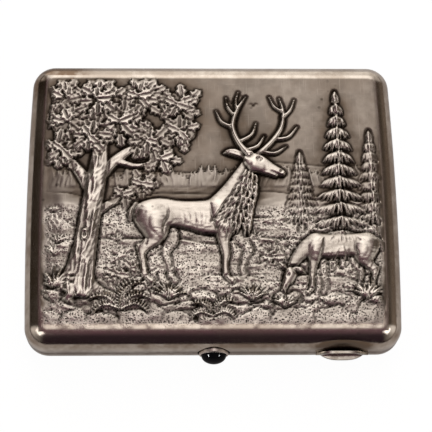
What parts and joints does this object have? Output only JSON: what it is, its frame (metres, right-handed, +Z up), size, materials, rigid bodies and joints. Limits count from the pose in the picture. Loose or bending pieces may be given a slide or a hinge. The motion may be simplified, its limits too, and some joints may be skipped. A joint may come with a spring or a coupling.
{
  "type": "cigarette case",
  "caption": "Flat hinged metal cigarette case, lid in high relief, push-button catch with a black cabochon and a thumb lip at the front, elastic bands inside.",
  "frame": {"origin": "centre of the flat underside of the base tray, which the closed case lies on", "axes": "+X along the length to the right, +Y to the hinge, +Z up out of the lid; the button faces -Y"},
  "size_m": [0.1114, 0.0946, 0.018],
  "materials": {
    "silver": "old silver, worn bright on high points and oxidised dark in the hollows",
    "bright_silver": "silver rubbed bright by use",
    "gilt": "gold-washed silver",
    "spring_steel": "tempered steel, satin",
    "black_stone": "polished black stone",
    "elastic": "woven elastic ribbon, ribbed along its length"
  },
  "bodies": {
    "base": {"base_shell": "silver", "base_rim_left": "gilt", "base_rim_right": "gilt", "base_hinge_bearer": "gilt", "hinge_pin": "spring_steel", "hinge_plug_left": "silver", "hinge_plug_right": "silver", "base_thumb_ledge": "bright_silver", "catch_block": "gilt", "catch_spring": "spring_steel", "catch_rivet_1": "bright_silver", "catch_rivet_2": "bright_silver", "base_band": "elastic", "base_staple_left": "gilt", "base_staple_right": "gilt", "base_knuckle_1": "silver", "base_knuckle_2": "silver", "base_knuckle_3": "silver", "base_knuckle_4": "silver", "base_knuckle_5": "silver"},
    "lid": {"lid_shell": "silver", "lid_hinge_bearer": "gilt", "lid_thumb_lip": "bright_silver", "lid_keeper": "gilt", "lid_band": "elastic", "lid_staple_left": "gilt", "lid_staple_right": "gilt", "lid_knuckle_1": "silver", "lid_knuckle_2": "silver", "lid_knuckle_3": "silver", "lid_knuckle_4": "silver"},
    "button": {"button_bezel": "gilt", "button_cabochon": "black_stone", "button_stem": "bright_silver"}
  },
  "joints": [
    {"name": "lid_hinge", "type": "hinge", "parent": "base", "child": "lid", "pos_m": [0, 0.045, 0.008], "axis": [-1, 0, 0], "range_deg": [0, 175], "deforming": ["catch_spring"]},
    {"name": "button_press", "type": "slide", "parent": "base", "child": "button", "axis": [0, 1, 0], "range_m": [0, 0.0012], "stiffness_N_per_m": 900, "deforming": ["catch_spring"]}
  ]
}
